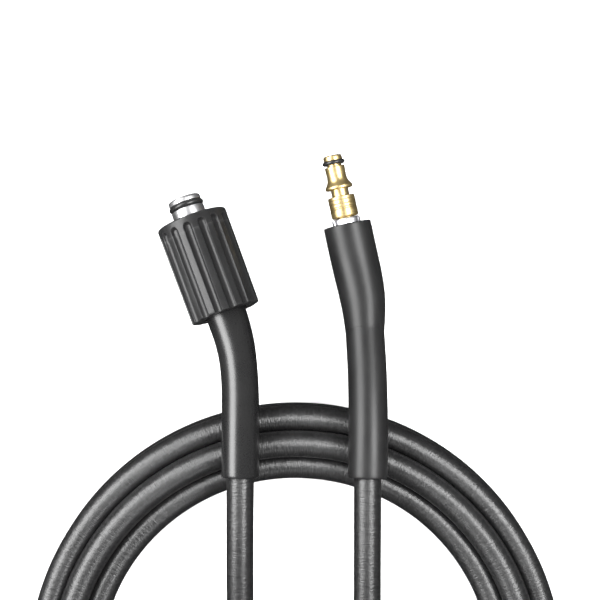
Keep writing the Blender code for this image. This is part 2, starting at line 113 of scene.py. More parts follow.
# Route of the hose from the push-in plug's sleeve to the coil
PLUG_END_ROUTE = [
    (0.0283, 0.1557, 0.0162),
    (0.0289, 0.1443, 0.0204),
    (0.0295, 0.1323, 0.0251),
    (0.0298, 0.1204, 0.0298),
    (0.0299, 0.1081, 0.0339),
    (0.0298, 0.0972, 0.0365),
    (0.0296, 0.0857, 0.0380),
    (0.0295, 0.0766, 0.0387),
    (0.0295, 0.0600, 0.0388),
    (0.0295, 0.0450, 0.0380),
    (0.0296, 0.0300, 0.0363),
    (0.0296, 0.0150, 0.0338),
    (0.0296, 0.0000, 0.0309),
    (0.0296, -0.0145, 0.0276),
    (0.0277, -0.0293, 0.0241),
    (0.0220, -0.0430, 0.0210),
    (0.0129, -0.0548, 0.0185),
    (0.0011, -0.0639, 0.0175),
    (-0.0126, -0.0696, 0.0171),
]

# Hand nut
NUT_LENGTH = 0.042
NUT_FRONT_RADIUS = 0.0150
NUT_REAR_RADIUS = 0.01465
NUT_THREAD_RADIUS = 0.0103
NUT_LEDGE = -0.029
NUT_LEDGE_RADIUS = 0.00895
NUT_NOSE_END = -0.0062
NUT_NOSE_INNER_RADIUS = NUT_THREAD_RADIUS + 0.002
NUT_GROOVES = 15
NUT_GROOVE_START = 0.0026
NUT_GROOVE_RADIUS = 0.0018
NUT_GROOVE_CENTRE = 0.01525
NUT_GROOVED_RADIUS = NUT_THREAD_RADIUS + 0.003
NUT_EDGE_SOFTNESS = 0.00011
EXPONENT_LIMIT = 40
THREAD_PITCH = 0.0015
THREAD_DEPTH = 0.0006
THREAD_START = -0.0012
THREAD_END = -0.0140
THREAD_FADE = 0.0012
THREAD_MARGIN = 0.0001
THREAD_LEAD_DEPTH = 0.0008
THREAD_LEAD_RISE = 0.0009
NUT_RING_STEP = 0.00022
NUT_PLAIN_STEP = 0.0009

# Angles of the nut's columns from the middle of a groove to past its edge, in degrees
GROOVE_ANGLES = [0.0, 1.7, 3.3, 4.6, 5.5, 6.05, 6.4, 6.75, 7.2, 8.2, 10.0]

# Screw nipple, its seal and the sleeve behind the nut
NIPPLE_REACH = 0.0095
NIPPLE_SEAL_PLACE = NIPPLE_REACH - 0.0035
NIPPLE_SEAL_SECTION = 0.0023
NIPPLE_SEAL_RADIUS = 0.00745
NIPPLE_COLLAR_FRONT = -0.0112
NIPPLE_COLLAR_BACK = -0.0142
NIPPLE_PIN_RADIUS = 0.0069
NIPPLE_BODY_RADIUS = 0.0070
NIPPLE_COLLAR_RADIUS = 0.0099
NIPPLE_STEM_RADIUS = 0.0050
NIPPLE_STEM_END = -0.0242
NIPPLE_BORE_RADIUS = 0.0025
NIPPLE_BORE_MOUTH_RADIUS = 0.0031
NIPPLE_BORE_MOUTH_DEPTH = 0.0006
NIPPLE_RING_STEP = 0.002
SEAL_GROOVE_GAP = 0.0001
NUT_SLEEVE_START = -0.0145
NUT_SLEEVE_LENGTH = 0.0963
NUT_SLEEVE_NECK_RADIUS = 0.0085
NUT_SLEEVE_NECK_END = 0.0024
NUT_SLEEVE_RADIUS = 0.0077
NUT_SLEEVE_TAPER_END = 0.0220
NUT_SLEEVE_BORE_RADIUS = 0.0053
NUT_SLEEVE_BORE_DEPTH = 0.010

# Push-in plug, its seal, ferrule and sleeve
PLUG_REACH = 0.0296
PLUG_FACE_OFFSET = 0.00245
PLUG_SEAL_PLACE = 0.0265
PLUG_SEAL_SECTION = 0.0017
PLUG_SEAL_RADIUS = 0.0048
PLUG_GRIP_RADIUS = 0.01005
PLUG_SLEEVE_RADIUS = 0.0081
PLUG_GRIP_LENGTH = 0.0270
PLUG_SEAM = 0.0462
PLUG_SEAM_RISE = 0.00008
PLUG_SEAM_LEAD = 0.0004
PLUG_SEAM_STEP = 0.00015
PLUG_SLEEVE_STRAIGHT = 0.0130
PLUG_SLEEVE_LENGTH = 0.1080
FERRULE_DEPTH = 0.0070
FERRULE_RADIUS = 0.00625
FERRULE_FLATS = 6
FERRULE_FLAT_DEPTH = 0.00035
FERRULE_WALL = 0.0012
FERRULE_MOUTH_GAP = 0.00045
FERRULE_MOUTH_BEVEL = 0.0004
FERRULE_CORNERS = [(0.0027, FERRULE_RADIUS, 0.0008), (-0.0066, FERRULE_RADIUS, 0.0004),
                   (-0.0066, 0.0041, 0.0003), (0.0027, 0.0041, 0.0003)]

# Push-in plug: distance from its sleeve's mouth, radius and rounding of each corner, in
# front of the fine rings round its body and behind them, and the rings' distances
PLUG_BODY_RADIUS = 0.0057
PLUG_FRONT_CORNERS = [
    (0.0296, 0.0040, 0.0010), (0.02735, 0.0040, 0.0002), (0.02735, 0.00305, 0.0001),
    (0.0248, 0.00305, 0.0001), (0.0248, 0.00425, 0.0003), (0.0190, 0.00402, 0.0022),
    (0.0166, 0.0056, 0.0007), (0.0162, 0.0058, 0.0004),
    (0.0152, PLUG_BODY_RADIUS, 0.0004), (0.0152, 0.0037, 0.0002),
    (0.0120, 0.0037, 0.0002), (0.0120, PLUG_BODY_RADIUS, 0.0004)]
PLUG_RINGS = (0.0105, 0.0088, 0.0075, 0.0067)
PLUG_RING_RADIUS = 0.00555
PLUG_RING_HALF = 0.00020
PLUG_RING_ROUND = 0.0001
PLUG_BACK_CORNERS = [
    (0.0036, PLUG_BODY_RADIUS, 0.0002), (0.0031, 0.0052, 0.0002),
    (0.0030, 0.0038, 0.0001), (-0.0068, 0.0038, 0.0002), (-0.0068, 0.0019, 0.0001),
    (0.0291, 0.0019, 0.0002), (0.0296, 0.0024, 0.0002)]

# Hose end of both sleeves: a rounded edge, a lead-in and a socket a little wider than
# the hose
SLEEVE_EDGE_ROUND = 0.0011
SLEEVE_LEAD_GAP = 0.00055
SLEEVE_LEAD_DEPTH = 0.0007
SLEEVE_SOCKET_GAP = 0.00012

# Grids: the rings' usual step along a profile, the share of a leg that a rounded corner
# may take up, and the columns round each piece
RING_STEP = 0.0015
CORNER_SHARE = 0.48
NUT_SLEEVE_COLUMNS = 64
PLUG_SLEEVE_COLUMNS = 72
SEAL_COLUMNS = 80
SEAL_SECTION_POINTS = 20
METAL_COLUMNS = 96
FERRULE_COLUMNS = 128

# Camera: the photograph's view from above, leaning a little towards the fittings
CAMERA_LENS = 120
CAMERA_SENSOR = 36
CAMERA_LEAN = math.radians(4)
CAMERA_PLACE = (0.00186, 0.2156, 0.8493)

# World: its light, how bright gloss mirrors it below and above the horizon, and the
# heights of the mirrored direction between which that changes
WORLD_LIGHT = 2.4
WORLD_MIRRORED_LOW = 0.04
WORLD_MIRRORED_HIGH = 0.22
HORIZON_LOW = -0.05
HORIZON_HIGH = 0.15

FLOOR_REACH = 3.0
FLOOR_COLOUR = (0.92, 0.92, 0.92, 1.0)
FLOOR_ROUGHNESS = 0.9

# Softboxes: name, lean to the right and to the fittings in degrees from straight above,
# width, length, watts, and the flag that keeps their light off some pieces or on them
LIGHT_AIM = (0.0, 0.05, 0.0)
LIGHT_DISTANCE = 1.3
LIGHTS = [
    ("softbox left high", -49, 20, 0.80, 1.4, 26.0, None),
    ("softbox left low", -49, -34, 0.80, 0.95, 1.2, None),
    ("softbox right high", 34, 12, 0.55, 1.05, 19.0, "EXCLUDE"),
    ("softbox right low", 30, -44, 0.45, 0.45, 2.4, "EXCLUDE"),
    ("strip over coil", 0, 14, 0.90, 0.24, 4.4, "INCLUDE")]

# Darker and lighter tone of each material
HOSE_TONES = (0.004, 0.004, 0.0042), (0.009, 0.009, 0.0092)
SLEEVE_TONES = (0.006, 0.006, 0.0062), (0.009, 0.009, 0.0092)
NUT_TONES = (0.009, 0.009, 0.0093), (0.014, 0.014, 0.0144)
# Painted highlight: the lighter tone put on the hand nut's sharp edges
NUT_EDGE_HIGHLIGHT_TONE = (0.045, 0.045, 0.046)
SEAL_TONES = (0.008, 0.008, 0.008), (0.013, 0.013, 0.013)
NIPPLE_TONES = (0.70, 0.70, 0.71), (0.86, 0.86, 0.87)
FERRULE_TONES = (0.66, 0.66, 0.70), (0.82, 0.82, 0.86)
BRASS_TONES = (0.76, 0.56, 0.24), (0.90, 0.72, 0.36)

# Ranges of one noise, of the sum of two, of the metals' mixed noise, and of the
# pointiness that marks an edge
NOISE_RANGE = 0.35, 0.7
TWO_NOISES_RANGE = 0.7, 1.3
METAL_NOISE_RANGE = 0.35, 0.65
EDGE_RANGE = 0.51, 0.60

record = frame["record"]
nut_joint = frame["joints"][0]
mounts = {mount["name"]: mount for mount in record["mounts"]}
coil_low, coil_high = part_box("hose_coil")
COIL_CENTRE = np.array([*((coil_low + coil_high) / 2).xy, 0.0])


def unit(vector):
    """The vector at length one."""
    vector = np.array(vector, float)
    return vector / np.linalg.norm(vector)


def axis_frame(origin, axis):
    """An origin with three directions: level across, up across, and along the axis."""
    along = unit(axis)
    across = unit(np.cross(along, (0, 0, 1)))
    return np.array(origin, float), across, np.cross(across, along), along


NUT_FRAME = axis_frame(nut_joint["pos_m"], nut_joint["axis"])
plug_axis = unit(mounts["plug_end_face"]["axis"])
plug_side = unit((plug_axis[1], -plug_axis[0], 0.0))
plug_mouth = (np.array(mounts["plug_end_face"]["pos_m"]) - plug_side * PLUG_FACE_OFFSET
              - plug_axis * PLUG_REACH)
PLUG_FRAME = axis_frame(plug_mouth, plug_axis)


def on_axis(axis, distance):
    """The point at a distance along a fitting's axis, coil's centre at zero."""
    return tuple(axis[0] + axis[3] * distance - COIL_CENTRE)


def smooth_step(t):
    """0 before t = 0 and 1 after t = 1, between them 6t^5 - 15t^4 + 10t^3."""
    t = np.clip(t, 0.0, 1.0)
    return t ** 3 * (t * (6 * t - 15) + 10)


def spline(points, samples):
    """Natural cubic spline through points: running length and places.

    The second derivatives m solve h0 m0 + 2 (h0 + h1) m1 + h1 m2 = 6 (slope1 - slope0)
    at each inner point, with m = 0 at both ends.
    """
    pts = np.array(points, float)
    t = np.concatenate([[0.0], np.cumsum(np.linalg.norm(np.diff(pts, axis=0), axis=1))])
    h = np.diff(t)
    slope = np.diff(pts, axis=0) / h[:, None]
    matrix = np.diag(np.concatenate([[1.0], 2 * (h[:-1] + h[1:]), [1.0]]))
    matrix += np.diag(np.concatenate([[0.0], h[1:]]), 1)
    matrix += np.diag(np.concatenate([h[:-1], [0.0]]), -1)
    right = np.zeros_like(pts)
    right[1:-1] = 6 * np.diff(slope, axis=0)
    bend = np.linalg.solve(matrix, right)
    fine = np.linspace(0.0, t[-1], samples)
    k = np.clip(np.searchsorted(t, fine, side="right") - 1, 0, len(h) - 1)
    a = ((t[k + 1] - fine) / h[k])[:, None]
    b = 1.0 - a
    places = a * pts[k] + b * pts[k + 1]
    places += ((a ** 3 - a) * bend[k]
               + (b ** 3 - b) * bend[k + 1]) * (h[k] ** 2)[:, None] / 6
    run = np.cumsum(np.linalg.norm(np.diff(places, axis=0), axis=1))
    return np.concatenate([[0.0], run]), places


def read_route(route, distances):
    """Places on a spline at given distances, in the frame's own coordinates."""
    run, places = route
    found = [np.interp(distances, run, places[:, axis]) for axis in range(3)]
    return np.stack(found, axis=-1) + COIL_CENTRE


def arc_points(centre, radius, angles, heights):
    """Points round a centre: centre plus the radius times (cosine, sine), and a height."""
    return np.column_stack([centre[0] + radius * np.cos(angles),
                            centre[1] + radius * np.sin(angles), heights])


def wound_points(angles):
    """The wound hose's places at its travel angles.

    A turn lies in one slot of the stack. In its window of azimuths it rolls round a
    neighbouring slot into the next one: its column and height are the pivot's plus one
    hose diameter times the cosine and sine of the roll, which grows as a smooth step.
    """
    column = np.full_like(angles, SLOTS[0, 0] * COLUMN_PITCH)
    height = np.full_like(angles, SLOTS[0, 1] * HOSE_DIAMETER)
    for turn, (start, stop, pivot, first, last) in enumerate(ROLLS):
        t = (np.degrees(angles) - 360 * turn - start) / (stop - start)
        roll = np.radians(first + (last - first) * smooth_step(t))
        begun = t > 0
        column = np.where(begun, SLOTS[pivot, 0] * COLUMN_PITCH
                          + HOSE_DIAMETER * np.cos(roll), column)
        height = np.where(begun, SLOTS[pivot, 1] * HOSE_DIAMETER
                          + HOSE_DIAMETER * np.sin(roll), height)
    radius = COIL_MEAN_RADIUS + column
    return np.column_stack([radius * np.cos(angles), radius * np.sin(angles), height])


def steps_between(start, stop, step):
    """Evenly spaced values from start to stop, about a step apart."""
    return np.linspace(start, stop, round(abs(stop - start) / step) + 1)


def hose_route():
    """The whole hose: nut end's route, entry bend, turns, exit bend, plug end's route."""
    low, high = SLOTS[0, 1] * HOSE_DIAMETER, SLOTS[-1, 1] * HOSE_DIAMETER
    entry_centre = (INNER_RADIUS - ENTRY_BEND) * np.array(
        [math.cos(ENTRY_AZIMUTH), math.sin(ENTRY_AZIMUTH)])
    entry_angles = steps_between(ENTRY_ARC_START, ENTRY_AZIMUTH, ARC_POINT_STEP)[:-1]
    entry_heights = np.linspace(ENTRY_HEIGHT, low, len(entry_angles) + 1)[:-1]
    exit_centre = (INNER_RADIUS - EXIT_BEND) * np.array(
        [math.cos(EXIT_AZIMUTH), math.sin(EXIT_AZIMUTH)])
    exit_angles = steps_between(EXIT_AZIMUTH, EXIT_ARC_END, ARC_POINT_STEP)[1:]
    exit_heights = np.linspace(high, EXIT_HEIGHT, len(exit_angles) + 1)[1:]
    turns = steps_between(ENTRY_AZIMUTH, EXIT_AZIMUTH + 2 * math.pi * TURNS,
                          2 * math.pi / POINTS_PER_TURN)
    nut_straight = [on_axis(NUT_FRAME, place)
                    for place in (NUT_SLEEVE_START, NUT_LEDGE, -NUT_LENGTH)]
    plug_straight = [on_axis(PLUG_FRAME, place)
                     for place in (0.0, -FERRULE_DEPTH, -PLUG_SLEEVE_STRAIGHT)]
    points = np.concatenate([
        nut_straight, NUT_END_ROUTE,
        arc_points(entry_centre, ENTRY_BEND, entry_angles, entry_heights),
        wound_points(turns),
        arc_points(exit_centre, EXIT_BEND, exit_angles, exit_heights),
        PLUG_END_ROUTE[::-1], plug_straight[::-1]])
    run, places = spline(points, SPLINE_SAMPLES)
    places[:, 2] = np.maximum(places[:, 2], HOSE_RADIUS)
    return run, places


ROUTE = hose_route()
ROUTE_LENGTH = ROUTE[0][-1]


def rounded(corners, closed, arc_steps=5):
    """A profile of (distance, radius, round) corners with each corner rounded.

    A corner becomes the parabola from one rounding before it to one after it, no
    further than just under half way to the next corner.
    """
    count = len(corners)
    points = []
    for i, (along, radius, size) in enumerate(corners):
        here = np.array([along, radius])
        if size == 0 or (not closed and i in (0, count - 1)):
            points.append(here)
            continue
        before = np.array(corners[i - 1][:2]) - here
        after = np.array(corners[(i + 1) % count][:2]) - here
        reach = [min(size, CORNER_SHARE * np.linalg.norm(leg)) / np.linalg.norm(leg)
                 for leg in (before, after)]
        s = np.linspace(0.0, 1.0, arc_steps)[:, None]
        points.extend(here + (1 - s) ** 2 * before * reach[0]
                      + s ** 2 * after * reach[1])
    return np.array(points)


def divided(profile, step, closed):
    """The profile with further points, so that none is more than a step from the next."""
    ends = np.vstack([profile[1:], profile[:1]]) if closed else profile[1:]
    made = []
    for start, stop in zip(profile, ends):
        count = max(1, math.ceil(np.linalg.norm(stop - start) / step))
        made.append(start + (stop - start) * (np.arange(count) / count)[:, None])
    if not closed:
        made.append(profile[-1:])
    return np.vstack(made)


def grid_piece(name, rings, place, closed, body, replaced, sharp=40):
    """A piece from rings of points, each ring closed round, standing for a CAD node.

    Rings join as four-cornered faces by index: ring i, column j to ring i + 1, column
    j + 1, both counted round. A closed grid joins its last ring to its first, and an
    open one shrinks to a pole at each end. The faces are turned round where the volume
    that they enclose, a sum of triple products, comes out negative.
    """
    count, columns = rings.shape[:2]
    index = np.arange(count * columns).reshape(count, columns)
    lower = index if closed else index[:-1]
    upper = np.roll(index, -1, axis=0)[:len(lower)]
    quads = np.stack([lower, np.roll(lower, -1, axis=1), np.roll(upper, -1, axis=1),
                      upper], axis=-1).reshape(-1, 4)
    points = rings.reshape(-1, 3)
    places = place.reshape(-1, 3)
    faces = quads
    fans = np.empty((0, 3), int)
    if not closed:
        points = np.vstack([points, rings[0].mean(axis=0), rings[-1].mean(axis=0)])
        places = np.vstack([places, place[0].mean(axis=0), place[-1].mean(axis=0)])
        first, last = index[0], index[-1]
        low_pole = np.full(columns, len(points) - 2)
        high_pole = np.full(columns, len(points) - 1)
        fans = np.vstack([np.column_stack([np.roll(first, -1), first, low_pole]),
                          np.column_stack([last, np.roll(last, -1), high_pole])])
    triangles = np.vstack([quads[:, [0, 1, 2]], quads[:, [0, 2, 3]], fans])
    corners = points[triangles] - points[0]
    volume = np.sum(corners[:, 0] * np.cross(corners[:, 1], corners[:, 2]))
    if volume < 0:
        faces, fans = quads[:, ::-1], fans[:, ::-1]
    mesh = bpy.data.meshes.new(name)
    mesh.from_pydata(points.tolist(), [], faces.tolist() + fans.tolist())
    mesh.attributes.new("place", "FLOAT_VECTOR", "POINT").data.foreach_set(
        "vector", places.astype(np.float32).ravel())
    mesh.shade_smooth()
    mesh.set_sharp_from_angle(angle=math.radians(sharp))
    piece = bpy.data.objects.new(name, mesh)
    bpy.context.scene.collection.objects.link(piece)
    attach(piece, body)
    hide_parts(*replaced)
    return piece


def turned_rings(profile, axis, columns, change=None):
    """A profile turned about a fitting's axis, and its places on the unplaced piece.

    Each point is origin + along * distance + radius * (across * cosine + up * sine). A
    change function may add to the radius from the angle and the distance.
    """
    origin, across, up, along = axis
    angles = columns if np.ndim(columns) else 2 * math.pi * np.arange(columns) / columns
    distance = np.repeat(profile[:, :1], len(angles), axis=1)
    radius = np.repeat(profile[:, 1:], len(angles), axis=1)
    turn = np.repeat(angles[None, :], len(profile), axis=0)
    if change is not None:
        radius = change(radius, turn, distance)
    x, y = radius * np.cos(turn), radius * np.sin(turn)
    rings = (origin + x[..., None] * across + y[..., None] * up
             + distance[..., None] * along)
    return rings, np.stack([x, y, distance], axis=-1)


def swept_rings(profile, start, direction, columns):
    """A profile of (distance, radius) carried along the hose's route.

    At each distance the ring's across is level, the route's direction times +Z, and its
    up is across times the direction. direction is -1 for a piece that runs backwards.
    """
    distances = start + direction * profile[:, 0]
    centre = read_route(ROUTE, distances)
    along = (read_route(ROUTE, distances + DIRECTION_STEP)
             - read_route(ROUTE, distances - DIRECTION_STEP))
    along /= np.linalg.norm(along, axis=1)[:, None]
    across = np.cross(along, (0.0, 0.0, 1.0))
    across /= np.linalg.norm(across, axis=1)[:, None]
    up = np.cross(across, along)
    angles = 2 * math.pi * np.arange(columns) / columns
    radius = profile[:, 1:]
    x, y = radius * np.cos(angles), radius * np.sin(angles)
    rings = (centre[:, None] + x[..., None] * across[:, None]
             + y[..., None] * up[:, None])
    along_too = np.repeat(profile[:, :1], columns, axis=1)
    return rings, np.stack([x, y, along_too], axis=-1)


def turned_piece(name, corners, axis, columns, node, sharp, step=RING_STEP,
                 change=None):
    """A metal piece turned from its rounded corners about a fitting's axis."""
    profile = divided(rounded(corners, True), step, True)
    rings, places = turned_rings(profile, axis, columns, change)
    return grid_piece(name, rings, places, True, "hose", [node], sharp)


def sleeve_piece(name, corners, length, radius, start, direction, columns, node):
    """A sleeve from its corners, with its hose end added, carried along the route."""
    depth = length - HOSE_TUCK
    socket_radius = HOSE_RADIUS + SLEEVE_SOCKET_GAP
    corners = corners + [(length, radius, SLEEVE_EDGE_ROUND),
                         (length, HOSE_RADIUS + SLEEVE_LEAD_GAP, 0.0003),
                         (length - SLEEVE_LEAD_DEPTH, socket_radius, 0.0002),
                         (depth, socket_radius, 0), (depth, 0.0, 0)]
    profile = divided(rounded(corners, False), RING_STEP, False)
    rings, place = swept_rings(profile, start, direction, columns)
    return grid_piece(name, rings, place, False, "hose", [node])


def make_hose():
    """The hose in one piece, from inside one sleeve to inside the other."""
    first = NUT_SLEEVE_LENGTH - HOSE_TUCK
    last = ROUTE_LENGTH - PLUG_SLEEVE_LENGTH + HOSE_TUCK
    distances = np.linspace(first, last, HOSE_RINGS)
    profile = np.column_stack([distances, np.full(HOSE_RINGS, HOSE_RADIUS)])
    rings, place = swept_rings(profile, 0.0, 1, HOSE_COLUMNS)
    hose = grid_piece("hose", rings, place, False, "hose",
                      ["hose_coil", "hose_run_nut_end", "hose_run_plug_end"])
    centres = read_route(ROUTE, distances)
    along = np.repeat(np.gradient(centres, axis=0), HOSE_COLUMNS, axis=0)
    along = np.vstack([along, along[0], along[-1]])
    along /= np.linalg.norm(along, axis=1)[:, None]
    hose.data.attributes.new("along", "FLOAT_VECTOR", "POINT").data.foreach_set(
        "vector", along.astype(np.float32).ravel())
    return hose, centres


def make_nut_sleeve():
    """The sleeve from inside the hand nut to the hose, hollow round the nipple's stem."""
    nut_end = NUT_LENGTH + NUT_SLEEVE_START
    corners = [(NUT_SLEEVE_BORE_DEPTH, 0.0, 0),
               (NUT_SLEEVE_BORE_DEPTH, NUT_SLEEVE_BORE_RADIUS, 0.0003),
               (0.0, NUT_SLEEVE_BORE_RADIUS, 0.0003),
               (0.0, NUT_SLEEVE_NECK_RADIUS, 0.0005),
               (nut_end + NUT_SLEEVE_NECK_END, NUT_SLEEVE_NECK_RADIUS, 0.004),
               (nut_end + NUT_SLEEVE_TAPER_END, NUT_SLEEVE_RADIUS, 0.006)]
    return sleeve_piece("hose_sleeve_nut_end", corners, NUT_SLEEVE_LENGTH,
                        NUT_SLEEVE_RADIUS, 0.0, 1, NUT_SLEEVE_COLUMNS, "nut_sleeve")


def make_plug_sleeve():
    """The plug's sleeve, thick at its grip, with a mouth round the ferrule."""
    mouth = FERRULE_RADIUS + FERRULE_MOUTH_GAP
    seam_radius = PLUG_SLEEVE_RADIUS + PLUG_SEAM_RISE
    corners = [(FERRULE_DEPTH, 0.0, 0), (FERRULE_DEPTH, mouth, 0.0002),
               (FERRULE_MOUTH_BEVEL, mouth, 0.0002),
               (0.0, mouth + FERRULE_MOUTH_BEVEL, 0.0002),
               (0.0, PLUG_GRIP_RADIUS, 0.0006),
               (PLUG_GRIP_LENGTH, PLUG_GRIP_RADIUS, 0.012),
               (PLUG_SEAM - PLUG_SEAM_LEAD, seam_radius, 0.008),
               (PLUG_SEAM, seam_radius, 0.00005),
               (PLUG_SEAM + PLUG_SEAM_STEP, PLUG_SLEEVE_RADIUS, 0.00005)]
    return sleeve_piece("hose_sleeve_plug_end", corners, PLUG_SLEEVE_LENGTH,
                        PLUG_SLEEVE_RADIUS, ROUTE_LENGTH, -1, PLUG_SLEEVE_COLUMNS,
                        "plug_sleeve")


def nut_change(radius, turn, distance):
    """The hand nut's radius with its grip grooves outside and its thread inside.

    A groove is the near side of a rod of radius g whose centre lies at C: at an angle d
    from the groove's middle the radius is C cos d - sqrt(g^2 - C^2 sin^2 d), and g
    shrinks at the round front end. A soft minimum rounds the edges. The thread adds
    depth times (1 - cos) / 2 of the helix angle, fading in and out over its ends.
    """
    pitch = 2 * math.pi / NUT_GROOVES
    off = (turn + pitch / 2) % pitch - pitch / 2
    nose = -NUT_GROOVE_START - NUT_GROOVE_RADIUS
    past = np.maximum(distance - nose, 0.0)
    g2 = np.maximum(NUT_GROOVE_RADIUS ** 2 - past ** 2, 0.0)
    inside = g2 - (NUT_GROOVE_CENTRE * np.sin(off)) ** 2
    groove = NUT_GROOVE_CENTRE * np.cos(off) - np.sqrt(np.maximum(inside, 0.0))
    gap = (groove - radius) / NUT_EDGE_SOFTNESS
    carved = radius - NUT_EDGE_SOFTNESS * np.log1p(np.exp(
        np.clip(-gap, -EXPONENT_LIMIT, EXPONENT_LIMIT)))
    outer = radius > NUT_GROOVED_RADIUS
    radius = np.where(outer & (inside > 0), np.minimum(carved, radius), radius)
    helix = 2 * math.pi * distance / THREAD_PITCH + turn
    fade = smooth_step((THREAD_START - distance) / THREAD_FADE)
    fade *= smooth_step((distance - THREAD_END) / THREAD_FADE)
    threaded = np.abs(radius - NUT_THREAD_RADIUS) < THREAD_MARGIN
    depth = THREAD_DEPTH * fade * (1 - np.cos(helix)) / 2
    return radius + np.where(threaded, depth, 0.0)


def nut_angles():
    """Angles round the nut, closer together at the edges of each groove."""
    pitch = 2 * math.pi / NUT_GROOVES
    half = np.radians(GROOVE_ANGLES)
    one = np.concatenate([-half[:0:-1], half, [pitch / 2]])
    return (np.arange(NUT_GROOVES)[:, None] * pitch + one[None, :]).ravel()


def nut_profile(step):
    """The hand nut's profile at a step, and which points are its nose and its thread."""
    corners = [(0.0, NUT_FRONT_RADIUS, 0.0011), (-NUT_LENGTH, NUT_REAR_RADIUS, 0.0007),
               (-NUT_LENGTH, NUT_LEDGE_RADIUS, 0.0004),
               (NUT_LEDGE, NUT_LEDGE_RADIUS, 0.0002),
               (NUT_LEDGE, NUT_THREAD_RADIUS, 0.0004),
               (-THREAD_LEAD_DEPTH, NUT_THREAD_RADIUS, 0),
               (0.0, NUT_THREAD_RADIUS + THREAD_LEAD_RISE, 0.0003)]
    points = divided(rounded(corners, True), step, True)
    distance, radius = points.T
    nose = (distance > NUT_NOSE_END) & (radius > NUT_NOSE_INNER_RADIUS)
    thread = (distance > THREAD_END) & (radius < NUT_THREAD_RADIUS + THREAD_MARGIN)
    return points, nose, thread


def make_hand_nut():
    """The fluted hand nut with its thread, rear ledge and rounded rims.

    Its rings lie closer together on the nose, where the grooves run out, and in the
    thread.
    """
    close, close_nose, close_thread = nut_profile(NUT_RING_STEP)
    plain, nose, thread = nut_profile(NUT_PLAIN_STEP)
    behind = ~nose & ~thread & (plain[:, 0] < NUT_NOSE_END)
    mouth = (~nose & ~thread & (plain[:, 0] > NUT_NOSE_END)
             & (plain[:, 1] > NUT_THREAD_RADIUS + THREAD_MARGIN))
    profile = np.vstack([close[close_nose], plain[behind], close[close_thread],
                         plain[mouth]])
    rings, place = turned_rings(profile, NUT_FRAME, nut_angles(), nut_change)
    return grid_piece("fluted_hand_nut", rings, place, True, "nut",
                      ["hand_nut"], sharp=50)


def make_screw_nipple():
    """The steel nipple: pin with a seal groove, collar and stem, bored through."""
    floor = NIPPLE_SEAL_RADIUS - NIPPLE_SEAL_SECTION - SEAL_GROOVE_GAP
    half = NIPPLE_SEAL_SECTION / 2 + SEAL_GROOVE_GAP
    front, back = NIPPLE_SEAL_PLACE + half, NIPPLE_SEAL_PLACE - half
    corners = [(NIPPLE_REACH, NIPPLE_PIN_RADIUS, 0.0011),
               (front, NIPPLE_PIN_RADIUS, 0.0002), (front, floor, 0.0001),
               (back, floor, 0.0001), (back, NIPPLE_BODY_RADIUS, 0.0003),
               (NIPPLE_COLLAR_FRONT, NIPPLE_BODY_RADIUS, 0.0003),
               (NIPPLE_COLLAR_FRONT, NIPPLE_COLLAR_RADIUS, 0.0004),
               (NIPPLE_COLLAR_BACK, NIPPLE_COLLAR_RADIUS, 0.0004),
               (NIPPLE_COLLAR_BACK, NIPPLE_STEM_RADIUS, 0.0002),
               (NIPPLE_STEM_END, NIPPLE_STEM_RADIUS, 0.0004),
               (NIPPLE_STEM_END, NIPPLE_BORE_RADIUS, 0.0002),
               (NIPPLE_REACH - NIPPLE_BORE_MOUTH_DEPTH, NIPPLE_BORE_RADIUS, 0.0002),
               (NIPPLE_REACH, NIPPLE_BORE_MOUTH_RADIUS, 0.0002)]
    return turned_piece("bored_screw_nipple", corners, NUT_FRAME, METAL_COLUMNS,
                        "screw_nipple", sharp=35,
                        step=NIPPLE_RING_STEP)


def make_seal(name, radius, section, place, axis, node):
    """A seal ring: a circle of the section turned about the axis."""
    turn = 2 * math.pi * np.arange(SEAL_SECTION_POINTS) / SEAL_SECTION_POINTS
    profile = np.column_stack([place + section / 2 * np.sin(turn),
                               radius - section / 2 + section / 2 * np.cos(turn)])
    rings, places = turned_rings(profile, axis, SEAL_COLUMNS)
    return grid_piece(name, rings, places, True, "hose", [node])


def make_brass_plug():
    """The turned brass plug, with fine rings round its body and a bore."""
    rings = [corner for ring in PLUG_RINGS for corner in (
        (ring + PLUG_RING_HALF, PLUG_BODY_RADIUS, PLUG_RING_ROUND),
        (ring, PLUG_RING_RADIUS, PLUG_RING_ROUND),
        (ring - PLUG_RING_HALF, PLUG_BODY_RADIUS, PLUG_RING_ROUND))]
    corners = PLUG_FRONT_CORNERS + rings + PLUG_BACK_CORNERS
    return turned_piece("turned_brass_plug", corners, PLUG_FRAME, METAL_COLUMNS,
                        "brass_plug", sharp=35)


def ferrule_change(radius, turn, distance):
    """Flats from crimping, on the outside alone.

    At an angle d from a flat's middle, with flats a pitch p apart, the radius goes down
    by R - R cos(p / 2) / cos d, and by no more than the flats' depth.
    """
    pitch = 2 * math.pi / FERRULE_FLATS
    off = (turn + pitch / 2) % pitch - pitch / 2
    flat = FERRULE_RADIUS * math.cos(pitch / 2) / np.cos(off)
    limited = np.maximum(flat, FERRULE_RADIUS - FERRULE_FLAT_DEPTH)
    outer = radius > FERRULE_RADIUS - FERRULE_WALL
    return np.where(outer, radius - FERRULE_RADIUS + limited, radius)


def make_ferrule():
    """The crimp ferrule, a short ring with pressed flats between plug and sleeve."""
    return turned_piece("crimped_ferrule", FERRULE_CORNERS, PLUG_FRAME, FERRULE_COLUMNS,
                        "crimp_ferrule", sharp=30,
                        change=ferrule_change)


